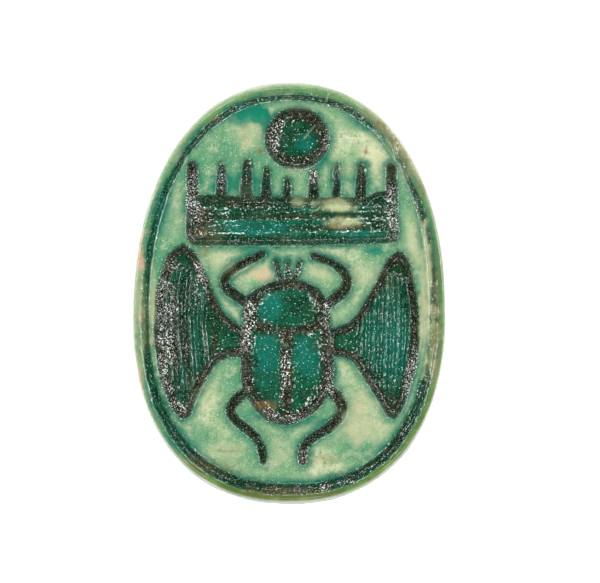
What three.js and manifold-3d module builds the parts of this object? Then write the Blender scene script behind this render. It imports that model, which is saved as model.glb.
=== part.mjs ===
// Glazed steatite scarab amulet, lying on its back with the carved face up. Millimetres, +Z up,
// +Y towards the beetle's head. The origin is the middle of the flat worn spot that it lies on.
import * as THREE from 'three';
import { mergeVertices } from 'three/addons/utils/BufferGeometryUtils.js';
import Module from 'manifold-3d';

// The oval base
const faceWidth = 13.1; // across the flat carved face
const faceLength = 17.52; // along it
const height = 7.8; // from the worn spot on the back up to the carved face
const baseThickness = 1.5; // of the oval plate that the beetle sits on
const endSwell = 0.24; // how far the plate's edge swells past the face at head and tail
const sideSwell = 0.1; // and at the two sides
const faceEdgeRounding = 0.09; // worn edge of the face
const ovalPower = 2.26; // 2 is a plain ellipse, more is squarer
const tailFullness = 0.063; // how much broader the tail end is than the head end

// The beetle's back, as shares of the face where a value isn't in millimetres
const domeShare = 0.955; // widest line of the wing cases
const waistShare = 0.9; // wall behind the legs
const domeHeight = 4.0; // from the worn spot to the widest line of the wing cases
const wornDepth = 0.15; // worn off the crown of the dome
const legRoom = 0.55; // from the widest line of the dome to the top of the leg zone
const backLineWidth = 0.4; // cut lines between the plates of the back
const backLineDepth = 0.28;
const neckShare = 0.7; // place of the neck along the face
const headLevel = 4.15; // height of the head's widest line
const headRise = 2.1; // from there to the top of the head
const headRadius = 2.6;
const headLength = 1.95; // from the neck to the front of the skull
const eyeRadius = 0.62;
const clypeusRadius = 2.6; // notched plate at the front of the head
const clypeusSetback = 0.2; // of that plate from the end of the face
const clypeusThickness = 0.6;
const clypeusTeeth = 6;
const legRadius = 0.55;
const boreDiameter = 1.5; // lengthwise hole for a thread or ring wire
const boreHeight = 5.45; // of its axis over the worn spot

// The carving of the face
const carveDepth = 0.42; // of the large sunk figures
const strokeDepth = 0.34; // of the narrow strokes
const wallSpread = 0.1; // how far a cut's wall leans in from the face to the floor
const borderInset = 0.46; // middle of the border line, in from the face's edge
const borderWidth = 0.32;
const borderDepth = 0.26;
const discRadius = 1.36;
const toothWidth = 0.44; // upright strokes of the middle panel
const legWidth = 0.4; // legs of the carved beetle
const outlineWidth = 0.34; // deep line around the carved beetle's plates
const plateDrop = 0.1; // tops of those plates under the face
const plateShoulder = 0.17; // rounding of their edges
const ridgeWidth = 0.26; // raised lines left standing in the wings and the panel
const ridgeDrop = 0.2; // their tops under the face

const glaze = new THREE.MeshStandardMaterial({ color: 0x7fb598, roughness: 0.32, metalness: 0 });

const wasm = await Module();
wasm.setup();

// A closed geometry as a solid: shared corners merged, and the empty triangles at poles dropped.
function toSolid(geometry) {
  geometry.deleteAttribute('normal');
  geometry.deleteAttribute('uv');
  const merged = mergeVertices(geometry, 1e-5);
  const corners = merged.index.array;
  const triangles = [];
  for (let i = 0; i < corners.length; i += 3) {
    const [a, b, c] = corners.slice(i, i + 3);
    if (a !== b && b !== c && c !== a) triangles.push(a, b, c);
  }
  return new wasm.Manifold(new wasm.Mesh({
    numProp: 3,
    vertProperties: merged.attributes.position.array,
    triVerts: new Uint32Array(triangles),
  }));
}

const union = (solids) => solids.reduce((whole, solid) => whole.add(solid));

const signedPower = (value, power) => Math.sign(value) * Math.abs(value) ** power;

// Point on the oval at a turn about the middle, scaled to a share of the face.
function ovalPoint(turn, share = 1) {
  const along = share * signedPower(Math.sin(turn), 2 / ovalPower);
  const across = share * signedPower(Math.cos(turn), 2 / ovalPower);
  return new THREE.Vector2(
    (faceWidth / 2) * across * (1 - tailFullness * along),
    (faceLength / 2) * along,
  );
}

// Direction square to the oval's edge, pointing out.
function ovalNormal(turn) {
  const step = 1e-3;
  const run = ovalPoint(turn + step).sub(ovalPoint(turn - step));
  return new THREE.Vector2(run.y, -run.x).normalize();
}

// A turned body whose rings follow the oval: each ring has a share of the face, a level, a share
// of the edge's swell and an inset in millimetres square to the edge.
function turnedOval(rings, segments) {
  const profile = rings.map((ring) => new THREE.Vector2(ring.share, ring.level));
  const geometry = new THREE.LatheGeometry(profile, segments);
  const position = geometry.attributes.position;
  for (let i = 0; i < position.count; i += 1) {
    const turn = ((Math.floor(i / rings.length) % segments) / segments) * 2 * Math.PI;
    const { share, level, swell = 0, inset = 0 } = rings[i % rings.length];
    const atEnd = Math.sin(turn) ** 2;
    const reach = swell * (sideSwell + (endSwell - sideSwell) * atEnd) - inset;
    const point = ovalPoint(turn, share).addScaledVector(ovalNormal(turn), reach);
    position.setXYZ(i, point.x, point.y, level);
  }
  return toSolid(geometry);
}

// Levels of the back, counted up from the worn spot
const plateLevel = height - baseThickness;
const domeRise = domeHeight + wornDepth;

// Rings of the domed back from the worn spot to its widest line, sunk by a depth.
function domeRings(depth) {
  const steps = 8;
  const start = Math.acos(domeHeight / domeRise);
  const rings = [{ share: 0, level: depth }];
  for (let step = 0; step <= steps; step += 1) {
    const angle = start + (step / steps) * (Math.PI / 2 - start);
    rings.push({
      share: (domeShare - depth / (faceWidth / 2)) * Math.sin(angle),
      level: domeHeight - domeRise * Math.cos(angle) + depth,
    });
  }
  return rings;
}

// Plate, waist and dome as one turned oval.
function blank() {
  return turnedOval([
    ...domeRings(0),
    { share: domeShare - 0.02, level: domeHeight + 0.6 * legRoom },
    { share: waistShare, level: domeHeight + legRoom },
    { share: waistShare, level: plateLevel - 0.2 },
    { share: 0.95, level: plateLevel },
    { share: 1, level: plateLevel + 0.12, swell: 0.7 },
    { share: 1, level: plateLevel + 0.4 * baseThickness, swell: 1 },
    { share: 1, level: height - 3 * faceEdgeRounding, swell: 0.55 },
    { share: 1, level: height - faceEdgeRounding },
    { share: 1, level: height, inset: faceEdgeRounding },
    { share: 0, level: height },
  ], 72);
}

// Places on the carved face, as shares of its half width and half length.
const onFace = ([across, along]) =>
  new THREE.Vector2((across * faceWidth) / 2, (along * faceLength) / 2);

// A line of even or tapering width with round ends, along a smooth curve through places.
function stroke(places, width, endWidth = width, steps = 3 * (places.length - 1)) {
  const curve = new THREE.SplineCurve(places);
  const left = [];
  const right = [];
  for (let step = 0; step <= steps; step += 1) {
    const along = step / steps;
    const middle = curve.getPoint(along);
    const run = curve.getTangent(along);
    const half = THREE.MathUtils.lerp(width, endWidth, along) / 2;
    left.push(new THREE.Vector2(middle.x - run.y * half, middle.y + run.x * half));
    right.unshift(new THREE.Vector2(middle.x + run.y * half, middle.y - run.x * half));
  }
  const roundEnd = (place, run, half) => [-0.5, 0, 0.5].map((share) => new THREE.Vector2(
    place.x + half * (run.x * Math.cos(share * Math.PI * 0.5) + run.y * Math.sin(share * Math.PI * 0.5)),
    place.y + half * (run.y * Math.cos(share * Math.PI * 0.5) - run.x * Math.sin(share * Math.PI * 0.5)),
  ));
  const first = places[0];
  const last = places[places.length - 1];
  return new THREE.Shape([
    ...left,
    ...roundEnd(last, curve.getTangent(1), endWidth / 2),
    ...right,
    ...roundEnd(first, curve.getTangent(0).negate(), width / 2),
  ]);
}

// Cutter for a sunk figure: its outline at the face, with walls that lean in to the floor.
function sunk(shape, depth = carveDepth, spread = wallSpread, detail = 2) {
  return toSolid(new THREE.ExtrudeGeometry(shape, {
    depth: depth,
    bevelThickness: depth,
    bevelSize: spread,
    bevelOffset: -spread,
    bevelSegments: 1,
    curveSegments: detail,
  }).translate(0, 0, height));
}

// A part of a sunk figure that is left standing: a pillow with rounded shoulders.
function standing(shape, drop, shoulder, rounds, detail = 2) {
  const rise = Math.min(carveDepth - drop, 1.2 * shoulder);
  return toSolid(new THREE.ExtrudeGeometry(shape, {
    depth: 2 * carveDepth,
    bevelThickness: rise,
    bevelSize: shoulder,
    bevelOffset: -shoulder,
    bevelSegments: rounds,
    curveSegments: detail,
  }).translate(0, 0, height - drop - rise - 2 * carveDepth));
}

// Border line all round the face.
function borderCut() {
  const corner = (share, level) => ({
    share: 1,
    inset: borderInset - share * borderWidth,
    level: level,
  });
  return turnedOval([
    corner(-0.25, height - borderDepth),
    corner(0.25, height - borderDepth),
    corner(0.5, height),
    corner(0.5, height + borderDepth),
    corner(-0.5, height + borderDepth),
    corner(-0.5, height),
    corner(-0.25, height - borderDepth),
  ], 72);
}

// Sun disc over the panel, with a dished floor.
function discCut() {
  const profile = [
    [0, -carveDepth * 0.9],
    [discRadius * 0.5, -carveDepth],
    [discRadius - wallSpread, -carveDepth],
    [discRadius, 0],
    [discRadius, carveDepth],
    [0, carveDepth],
  ].map(([radius, level]) => new THREE.Vector2(radius, level));
  const middle = onFace([0.039, 0.749]);
  return toSolid(new THREE.LatheGeometry(profile, 28)
    .rotateX(Math.PI / 2)
    .scale(1.02, 0.98, 1)
    .translate(middle.x, middle.y, height));
}

// Middle panel: a sunk field with long lengthwise lines, under a row of short upright strokes.
function panelCut() {
  const corners = [[-0.667, 0.475], [-0.3, 0.468], [0.1, 0.466], [0.5, 0.472], [0.56, 0.497],
    [0.697, 0.5], [0.702, 0.262], [0.67, 0.246], [0.1, 0.232], [-0.3, 0.226], [-0.62, 0.224],
    [-0.664, 0.25]];
  const field = sunk(new THREE.Shape(corners.map(onFace)));
  const lines = [0.405, 0.345, 0.285].map((along) =>
    standing(stroke([[-0.6, along - 0.01], [0, along], [0.62, along + 0.012]].map(onFace),
      ridgeWidth), ridgeDrop, ridgeWidth * 0.45, 1));
  const foot = 0.44;
  const teeth = [[-0.445, 0.608], [-0.283, 0.628], [-0.157, 0.598], [-0.01, 0.555],
    [0.151, 0.583], [0.298, 0.609], [0.455, 0.61]]
    .map(([across, top]) => sunk(stroke([[across - 0.004, foot], [across, top]].map((place) =>
      onFace(place)), toothWidth, toothWidth * 0.8, 2), strokeDepth));
  const ends = [-0.63, 0.655].map((across) =>
    sunk(stroke([[across, 0.28], [across, 0.45], [across - 0.008, 0.61]].map(onFace),
      toothWidth * 1.15, toothWidth), carveDepth));
  return union([field.subtract(union(lines)), ...teeth, ...ends]);
}

// A wing from its outer edge, lower edge and upper edge, each a smooth curve between the tips
// and the root, with feather ridges left standing along it.
function wingCut(outer, lower, upper, feathers) {
  const shape = new THREE.Shape();
  const start = onFace(outer[0]);
  shape.moveTo(start.x, start.y);
  shape.splineThru(outer.slice(1).map(onFace));
  shape.splineThru(lower.map(onFace));
  const root = onFace(upper[0]);
  shape.lineTo(root.x, root.y);
  shape.splineThru([...upper.slice(1), outer[0]].map(onFace));
  const ridges = feathers.map((places) =>
    standing(stroke(places.map(onFace), ridgeWidth), ridgeDrop, ridgeWidth * 0.45, 1));
  return sunk(shape).subtract(union(ridges));
}

const leftWing = () => wingCut(
  [[-0.69, 0.235], [-0.79, 0.18], [-0.845, 0.06], [-0.88, -0.11], [-0.872, -0.25],
    [-0.83, -0.42], [-0.75, -0.565], [-0.682, -0.617]],
  [[-0.63, -0.595], [-0.575, -0.49], [-0.49, -0.37], [-0.4, -0.317], [-0.27, -0.312]],
  [[-0.27, -0.165], [-0.36, -0.138], [-0.45, -0.06], [-0.545, 0.105], [-0.61, 0.19]],
  [
    [[-0.76, 0.1], [-0.805, -0.1], [-0.75, -0.43]],
    [[-0.7, 0.12], [-0.725, -0.12], [-0.68, -0.48]],
    [[-0.635, 0.1], [-0.645, -0.14], [-0.615, -0.45]],
    [[-0.56, -0.02], [-0.565, -0.16], [-0.545, -0.36]],
  ],
);

const rightWing = () => wingCut(
  [[0.7, 0.212], [0.765, 0.17], [0.815, 0.05], [0.848, -0.12], [0.845, -0.26],
    [0.805, -0.4], [0.755, -0.53], [0.69, -0.607]],
  [[0.63, -0.58], [0.56, -0.49], [0.475, -0.395], [0.4, -0.32], [0.25, -0.3]],
  [[0.25, -0.163], [0.34, -0.152], [0.43, -0.1], [0.53, 0.025], [0.63, 0.165]],
  [
    [[0.755, 0.06], [0.785, -0.14], [0.755, -0.39]],
    [[0.7, 0.08], [0.71, -0.15], [0.69, -0.46]],
    [[0.635, 0.08], [0.632, -0.14], [0.62, -0.46]],
    [[0.555, -0.02], [0.55, -0.16], [0.545, -0.38]],
    [[0.475, -0.1], [0.47, -0.2], [0.465, -0.3]],
  ],
);

// The carved beetle: its body is one sunk outline in which the shield behind the head and the
// two wing cases are left standing, with legs and head prongs as strokes.
function beetleCut() {
  const body = new THREE.Shape();
  const neck = onFace([-0.295, -0.03]);
  body.moveTo(neck.x, neck.y);
  body.splineThru([[-0.308, -0.17], [-0.312, -0.33], [-0.298, -0.45], [-0.24, -0.54],
    [-0.14, -0.615], [-0.015, -0.637], [0.11, -0.605], [0.215, -0.54], [0.285, -0.445],
    [0.292, -0.33], [0.272, -0.17], [0.258, -0.045]].map(onFace));
  body.splineThru([[0.2, 0.015], [0.1, 0.058], [-0.01, 0.068], [-0.12, 0.05], [-0.22, 0.015],
    [-0.295, -0.03]].map(onFace));

  const line = (2 * outlineWidth) / faceWidth; // width of the deep outline as a share across
  const shield = new THREE.Shape();
  const corner = onFace([-0.27 + line, -0.05]);
  shield.moveTo(corner.x, corner.y);
  shield.splineThru([[-0.265 + line, -0.12], [-0.13, -0.163], [-0.01, -0.17], [0.11, -0.16],
    [0.235 - line, -0.13]].map(onFace));
  shield.splineThru([[0.245 - line, -0.06], [0.13, 0.018], [-0.01, 0.032], [-0.14, 0.01],
    [-0.27 + line, -0.05]].map(onFace));

  const caseLeft = new THREE.Shape();
  const leftTop = onFace([-0.3 + line, -0.165]);
  caseLeft.moveTo(leftTop.x, leftTop.y);
  caseLeft.splineThru([[-0.305 + line, -0.33], [-0.285 + line, -0.45], [-0.16, -0.55],
    [-0.035, -0.592]].map(onFace));
  caseLeft.lineTo(onFace([-0.042, -0.2]).x, onFace([-0.042, -0.2]).y);
  caseLeft.splineThru([[-0.13, -0.195], [-0.3 + line, -0.165]].map(onFace));

  const caseRight = new THREE.Shape();
  const rightTop = onFace([0.013, -0.2]);
  caseRight.moveTo(rightTop.x, rightTop.y);
  caseRight.lineTo(onFace([0.01, -0.592]).x, onFace([0.01, -0.592]).y);
  caseRight.splineThru([[0.13, -0.553], [0.27 - line, -0.45], [0.28 - line, -0.33],
    [0.265 - line, -0.165]].map(onFace));
  caseRight.splineThru([[0.11, -0.19], [0.013, -0.2]].map(onFace));

  const plates = union([shield, caseLeft, caseRight].map((shape) =>
    standing(shape, plateDrop, plateShoulder, 2, 1)));

  const legs = [
    [[-0.27, -0.05], [-0.345, -0.014], [-0.405, 0.02], [-0.42, 0.06], [-0.37, 0.108],
      [-0.285, 0.146], [-0.175, 0.19]],
    [[0.235, -0.06], [0.3, -0.02], [0.36, 0.022], [0.372, 0.07], [0.335, 0.118],
      [0.26, 0.152], [0.155, 0.18]],
    [[-0.26, -0.475], [-0.335, -0.515], [-0.372, -0.568], [-0.34, -0.615], [-0.265, -0.66],
      [-0.2, -0.705], [-0.17, -0.755], [-0.158, -0.81]],
    [[0.25, -0.46], [0.32, -0.5], [0.35, -0.555], [0.318, -0.612], [0.23, -0.665],
      [0.14, -0.71], [0.098, -0.76], [0.1, -0.812]],
  ].map((places) => sunk(stroke(places.map(onFace), legWidth, legWidth * 0.7,
    2 * (places.length - 1)), strokeDepth));

  const prongs = [
    [[-0.045, 0.03], [-0.088, 0.15]],
    [[-0.008, 0.03], [-0.012, 0.145]],
    [[0.022, 0.03], [0.064, 0.152]],
  ].map((places) => sunk(stroke(places.map(onFace), 0.3, 0.24, 1), 0.22, 0.06));

  return union([sunk(body).subtract(plates), ...legs, ...prongs]);
}

// Everything cut into the face.
function faceCuts() {
  return union([borderCut(), discCut(), panelCut(), leftWing(), rightWing(), beetleCut()]);
}

// A cut line on the dome: an upright prism over its plan, down to the sunk dome.
function backLines() {
  const onBack = ([across, along]) => new THREE.Vector2(
    (across * domeShare * faceWidth) / 2,
    (along * domeShare * faceLength) / 2,
  );
  const shapes = [
    stroke([[-1.02, 0.2], [-0.6, 0.16], [0, 0.14], [0.6, 0.16], [1.02, 0.2]].map(onBack),
      backLineWidth),
    stroke([[0, 0.14], [0, -0.4], [0, -1.02]].map(onBack), backLineWidth),
    ...[-1, 1].map((side) => new THREE.Shape([[0.62 * side, 0.16], [0.78 * side, 0.16],
      [0.68 * side, 0]].map(onBack))),
  ];
  const prisms = shapes.map((shape) => toSolid(new THREE.ExtrudeGeometry(shape, {
    depth: domeHeight + 1,
    bevelEnabled: false,
  }).translate(0, 0, -1)));
  const sunkDome = turnedOval([
    ...domeRings(backLineDepth),
    { share: 0.8, level: plateLevel },
    { share: 0, level: plateLevel },
  ], 48);
  return union(prisms).subtract(sunkDome);
}

// Room cut away in front of the shield, in which the head stands: in side view its wall bends
// down from the dome to the waist.
function headRoom() {
  const neck = neckShare * (faceLength / 2);
  const floor = domeHeight + legRoom;
  const front = faceLength / 2 + endSwell + 1;
  const side = new THREE.Shape();
  side.moveTo(neck - headLength, -wornDepth);
  side.quadraticCurveTo(neck, 0.15 * domeHeight, neck, floor);
  side.lineTo(front, floor);
  side.lineTo(front, -1);
  side.lineTo(neck - headLength, -1);
  return toSolid(new THREE.ExtrudeGeometry(side, {
    depth: 2 * faceWidth,
    bevelEnabled: false,
    curveSegments: 8,
  }).rotateX(Math.PI / 2).rotateZ(Math.PI / 2).translate(-faceWidth, 0, 0));
}

// Head with its eyes and the notched plate in front.
function head() {
  const neck = neckShare * (faceLength / 2);
  const skull = toSolid(new THREE.SphereGeometry(1, 20, 12)
    .scale(headRadius, headLength, headRise)
    .translate(0, neck, headLevel));
  const eyes = [-1, 1].map((side) => toSolid(new THREE.SphereGeometry(eyeRadius, 10, 8)
    .translate(side * headRadius * 0.8, neck + 0.45 * headLength, headLevel - 0.25 * headRise)));
  const rim = [];
  const steps = 2 * clypeusTeeth;
  for (let step = 0; step <= steps; step += 1) {
    const turn = (0.1 + (0.8 * step) / steps) * Math.PI;
    const reach = clypeusRadius * (step % 2 ? 1 : 0.9);
    rim.push(new THREE.Vector2(reach * Math.cos(turn), reach * Math.sin(turn)));
  }
  const heel = clypeusRadius * 0.8;
  rim.push(new THREE.Vector2(-heel, -heel / 2), new THREE.Vector2(heel, -heel / 2));
  const plate = toSolid(new THREE.ExtrudeGeometry(new THREE.Shape(rim), {
    depth: clypeusThickness,
    bevelEnabled: false,
  }).translate(0, faceLength / 2 - clypeusSetback - clypeusRadius, headLevel));
  return union([skull, plate, ...eyes]);
}

// One leg in relief: a round bar along the waist, through places given by a turn about the
// middle in degrees, a share of the room between dome and plate, and how far out it lies as a
// share of the face. Its two ends run into the waist.
function leg(places) {
  const top = domeHeight + legRoom;
  const path = new THREE.CatmullRomCurve3(places.map(([degrees, down, share]) => {
    const point = ovalPoint(THREE.MathUtils.degToRad(degrees), share);
    return new THREE.Vector3(point.x, point.y, top + down * (plateLevel - top));
  }));
  const section = new THREE.Shape(Array.from({ length: 8 }, (_, corner) => {
    const turn = (corner / 4) * Math.PI;
    return new THREE.Vector2(legRadius * Math.cos(turn), legRadius * Math.sin(turn));
  }));
  return toSolid(new THREE.ExtrudeGeometry(section, { steps: 9, extrudePath: path }));
}

// Three legs on each side, the left ones a mirror of the right ones.
function legs() {
  const out = 0.915;
  const buried = 0.8;
  return [
    [[30, 0, buried], [38, 0.15, out], [52, 0.55, out], [66, 0.85, out], [76, 0.9, buried]],
    [[24, 0, buried], [14, 0.2, out], [-4, 0.55, out], [-20, 0.85, out], [-28, 0.9, buried]],
    [[-22, 0, buried], [-32, 0.2, out], [-48, 0.55, out], [-66, 0.85, out], [-78, 0.9, buried]],
  ].flatMap((places) => [
    leg(places),
    leg(places.map(([degrees, down, share]) => [180 - degrees, down, share])),
  ]);
}

function bore() {
  const radius = boreDiameter / 2;
  return toSolid(new THREE.CylinderGeometry(radius, radius, 2 * faceLength, 20)
    .translate(0, 0, boreHeight));
}

const carved = union([
  blank().subtract(headRoom()).subtract(backLines()),
  head(),
  ...legs(),
]).subtract(union([faceCuts(), bore()]));

const result = carved.getMesh();
const geometry = new THREE.BufferGeometry();
geometry.setAttribute('position', new THREE.BufferAttribute(result.vertProperties, 3));
geometry.setIndex(new THREE.BufferAttribute(result.triVerts, 1));
geometry.computeVertexNormals();

const scarab = new THREE.Mesh(geometry, glaze);
scarab.name = 'scarab_amulet';

const amulet = new THREE.Group();
amulet.add(scarab);

export default amulet;
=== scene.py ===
"""A glazed steatite scarab amulet, seen straight down on its carved underside.

The amulet lies on its back on a small flat worn spot, with the carved face up (+Z) and the
beetle's head towards +Y. Forms are worked out in millimetres and put into meshes in metres.
"""

import math

import bpy
import numpy as np
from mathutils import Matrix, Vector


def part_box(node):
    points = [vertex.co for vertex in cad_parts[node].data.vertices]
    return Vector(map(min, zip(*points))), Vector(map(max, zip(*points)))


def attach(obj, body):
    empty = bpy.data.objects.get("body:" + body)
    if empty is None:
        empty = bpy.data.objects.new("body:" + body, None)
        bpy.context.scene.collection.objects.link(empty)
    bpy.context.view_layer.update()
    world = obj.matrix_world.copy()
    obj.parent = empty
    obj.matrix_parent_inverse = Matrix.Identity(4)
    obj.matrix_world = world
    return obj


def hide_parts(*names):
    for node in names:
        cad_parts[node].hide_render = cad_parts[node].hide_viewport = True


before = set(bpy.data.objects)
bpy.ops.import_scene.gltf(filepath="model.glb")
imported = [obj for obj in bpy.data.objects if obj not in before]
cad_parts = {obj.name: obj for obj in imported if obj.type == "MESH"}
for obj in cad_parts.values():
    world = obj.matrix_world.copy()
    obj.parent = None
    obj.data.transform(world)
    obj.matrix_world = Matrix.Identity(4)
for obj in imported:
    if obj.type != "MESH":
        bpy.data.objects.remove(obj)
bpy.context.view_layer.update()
MM = 0.001
low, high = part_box("scarab_amulet")

# The camera
# A long macro lens looks straight down on the face. The photograph shows the face 414 pixels
# long, a little left of the middle of its 600 by 583 pixels and turned by a hair.
PHOTO_WIDTH = 600
FACE_LENGTH_IN_PHOTO = 414
FACE_MIDDLE_IN_PHOTO = (289.4, 293.5)
PHOTO_MIDDLE = (300, 291.5)
PHOTO_TURN = 0.0105
LENS, SENSOR = 180.0, 36.0
NEAREST_SEEN, FARTHEST_SEEN = 0.005, 5.0
END_SWELL = 0.24
height = high.z / MM
face_length = (high.y - low.y) / MM - 2 * END_SWELL
mm_per_pixel = face_length / FACE_LENGTH_IN_PHOTO
distance = mm_per_pixel * PHOTO_WIDTH * LENS / SENSOR
camera_data = bpy.data.cameras.new("macro_lens")
camera_data.lens = LENS
camera_data.sensor_width = SENSOR
camera_data.clip_start = NEAREST_SEEN
camera_data.clip_end = FARTHEST_SEEN
camera = bpy.data.objects.new("camera", camera_data)
camera.location = (
    (PHOTO_MIDDLE[0] - FACE_MIDDLE_IN_PHOTO[0]) * mm_per_pixel * MM,
    (FACE_MIDDLE_IN_PHOTO[1] - PHOTO_MIDDLE[1]) * mm_per_pixel * MM,
    (height + distance) * MM,
)
camera.rotation_euler = (0, 0, PHOTO_TURN)
bpy.context.collection.objects.link(camera)
bpy.context.scene.camera = camera


# The oval
# The amulet is carved from one pebble of soft stone. Seen from above it is an oval, a little
# squarer than an ellipse and fuller at the tail, and every ring of it follows that oval.
FACE_WIDTH = 13.1
OVAL_POWER = 2.26
TAIL_FULLNESS = 0.063
SIDE_SWELL = 0.1


def signed_power(value, power):
    """The size of a value to a power, with the value's sign."""
    return np.sign(value) * np.abs(value) ** power


def oval(turn, share):
    """Place on the oval: cosine and sine of the turn to the power 2/p, times the half sides."""
    along = share * signed_power(np.sin(turn), 2 / OVAL_POWER)
    across = share * signed_power(np.cos(turn), 2 / OVAL_POWER)
    x = FACE_WIDTH / 2 * across * (1 - TAIL_FULLNESS * along)
    return x, face_length / 2 * along


def oval_share(x, y):
    """Share of the oval on which a place lies: the p-norm of its two shares of the half sides."""
    along = y / (face_length / 2)
    across = x / (FACE_WIDTH / 2) / (1 - TAIL_FULLNESS * along)
    return (np.abs(across) ** OVAL_POWER + np.abs(along) ** OVAL_POWER) ** (1 / OVAL_POWER)


def oval_turn(x, y):
    """Turn of the oval at a place: the arc tangent of its shares to the power p/2."""
    along = y / (face_length / 2)
    across = x / (FACE_WIDTH / 2) / (1 - TAIL_FULLNESS * along)
    return np.arctan2(signed_power(along, OVAL_POWER / 2), signed_power(across, OVAL_POWER / 2))


def smoothstep(value, start, end):
    """0 before start and 1 after end, with an S curve 3t^2 - 2t^3 between."""
    t = np.clip((value - start) / (end - start), 0, 1)
    return t * t * (3 - 2 * t)


def smooth_max(a, b, reach):
    """The larger of two fields, blended by a parabola where they are within reach."""
    near = np.clip(1 - np.abs(a - b) / reach, 0, 1)
    return np.maximum(a, b) + near * near * reach / 4


def smooth_min(a, b, reach):
    """The smaller of two fields, blended the same way."""
    return -smooth_max(-a, -b, reach)


def lumps(x, y, z, size, seed):
    """Smooth noise from 0 to 1: random values on a lattice of the given size, blended by S
    curves between the lattice's points, which repeats every 64 points."""
    lattice = np.random.default_rng(seed).random((64, 64, 64))
    scaled = [np.asarray(v, float) / size + 1000.5 for v in (x, y, z)]
    cell = [np.floor(v).astype(int) for v in scaled]
    part = [v - c for v, c in zip(scaled, cell)]
    part = [t * t * (3 - 2 * t) for t in part]
    total = 0
    for corner in range(8):
        bit = [(corner >> axis) & 1 for axis in range(3)]
        index = [(c + b) % 64 for c, b in zip(cell, bit)]
        weight = 1
        for b, t in zip(bit, part):
            weight = weight * (t if b else 1 - t)
        total = total + weight * lattice[index[0], index[1], index[2]]
    return total


# The carved face
# Figures are sunk into the flat face with a graver: a border line, a sun disc, a panel of
# strokes and a winged beetle whose plates and feathers are left standing in the sunk ground.

# Depths, drops and widths are in millimetres, and places in shares of the half sizes.
CARVE_DEPTH = 0.42
STROKE_DEPTH = 0.34
WALL_START, WALL = -0.02, 0.24
BORDER_INSET = 0.46
BORDER_WIDTH = 0.38
BORDER_DEPTH = 0.26
DISC_RADIUS = 1.36
DISC_PLACE = (0.039, 0.749)
END_WIDTH = 0.6
LEG_WIDTH = 0.52
OUTLINE_WIDTH = 0.34
PRONG_WIDTH = 0.3
PRONG_DEPTH = 0.24
PLATE_DROP = 0.31
RIDGE_WIDTH = 0.3
RIDGE_DROP = 0.2
TAPER = 0.7
WORN_TURN = 0.84
LONG_WANDER, LONG_WAVE = 0.06, 0.55
SHORT_WANDER, SHORT_WAVE = 0.05, 0.18
OUTSIDE = 9
# How dark the glaze pooled in each kind of cut, from 0 to 1.
BORDER_DARK, LEFT_CLEARED = 0.7, 0.62
ROW_DARK, TOOTH_DARK, END_DARK = 0.65, 0.8, 0.9
LEFT_WING_DARK, RIGHT_WING_DARK = 0.9, 0.46
BODY_DARK, LEG_DARK, PRONG_DARK = 0.95, 0.9, 0.8


def on_face(places):
    """Places on the face from shares of its half width and half length."""
    return np.array(places, float) * (FACE_WIDTH / 2, face_length / 2)


def curve(places, detail=6):
    """Smooth curve through places: cubic pieces whose slope at a place is half the step between
    its two neighbours."""
    points = np.asarray(places, float)
    before = np.vstack([points[:1], points[:-2], points[-2:-1]])[: len(points) - 1]
    after = np.vstack([points[2:], points[-1:]])
    start, end = points[:-1], points[1:]
    t = (np.arange(detail) / detail)[None, :, None]
    a, b, c, d = (v[:, None, :] for v in (before, start, end, after))
    slope_in, slope_out = (c - a) / 2, (d - b) / 2
    piece = (
        b
        + slope_in * t
        + (3 * (c - b) - 2 * slope_in - slope_out) * t**2
        + (2 * (b - c) + slope_in + slope_out) * t**3
    )
    return np.vstack([piece.reshape(-1, points.shape[1]), points[-1:]])


def path_distance(x, y, path):
    """Distance to a path of straight pieces, and how far along it the nearest point is."""
    best = np.full(x.shape, np.inf)
    along = np.zeros(x.shape)
    for i in range(len(path) - 1):
        (ax, ay), (bx, by) = path[i], path[i + 1]
        run_x, run_y = bx - ax, by - ay
        t = np.clip(((x - ax) * run_x + (y - ay) * run_y) / (run_x**2 + run_y**2), 0, 1)
        gap = np.hypot(x - ax - t * run_x, y - ay - t * run_y)
        nearer = gap < best
        best = np.where(nearer, gap, best)
        along = np.where(nearer, (i + t) / (len(path) - 1), along)
    return best, along


def inside_stroke(x, y, places, width, end_width=None):
    """How far inside a stroke with round ends a place is: its half width less the distance."""
    gap, along = path_distance(x, y, curve(on_face(places)))
    half = (width + ((end_width or width) - width) * along) / 2
    return half - gap


def inside_outline(x, y, outline):
    """How far inside a closed outline a place is: the distance to it, with a minus outside,
    where a ray to the right crosses it an even number of times."""
    closed = np.vstack([outline, outline[:1]])
    gap, _ = path_distance(x, y, closed)
    within = np.zeros(x.shape, bool)
    for (ax, ay), (bx, by) in zip(closed[:-1], closed[1:]):
        spans = (ay > y) != (by > y)
        if ay != by:
            within ^= spans & (x < ax + (y - ay) * (bx - ax) / (by - ay))
    return np.where(within, gap, -gap)


def outline_of(*edges):
    """One closed outline from several smooth edges, each from where the last one ended."""
    return np.vstack([curve(on_face(edge))[:-1] for edge in edges])


PANEL = on_face([
    (-0.667, 0.475), (-0.3, 0.468), (0.1, 0.466), (0.5, 0.472), (0.56, 0.497), (0.697, 0.5),
    (0.702, 0.262), (0.67, 0.246), (0.1, 0.232), (-0.3, 0.226), (-0.62, 0.224), (-0.664, 0.25),
])
PANEL_LINES = [0.405, 0.345, 0.285]
TOOTH_FOOT = 0.44
# Each upright stroke: its place across, its top and its width.
TEETH = [
    (-0.445, 0.61, 0.58), (-0.283, 0.628, 0.6), (-0.157, 0.596, 0.52), (-0.02, 0.545, 0.44),
    (0.151, 0.583, 0.56), (0.298, 0.611, 0.44), (0.455, 0.609, 0.58),
]
PANEL_ENDS = [-0.63, 0.655]

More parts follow.
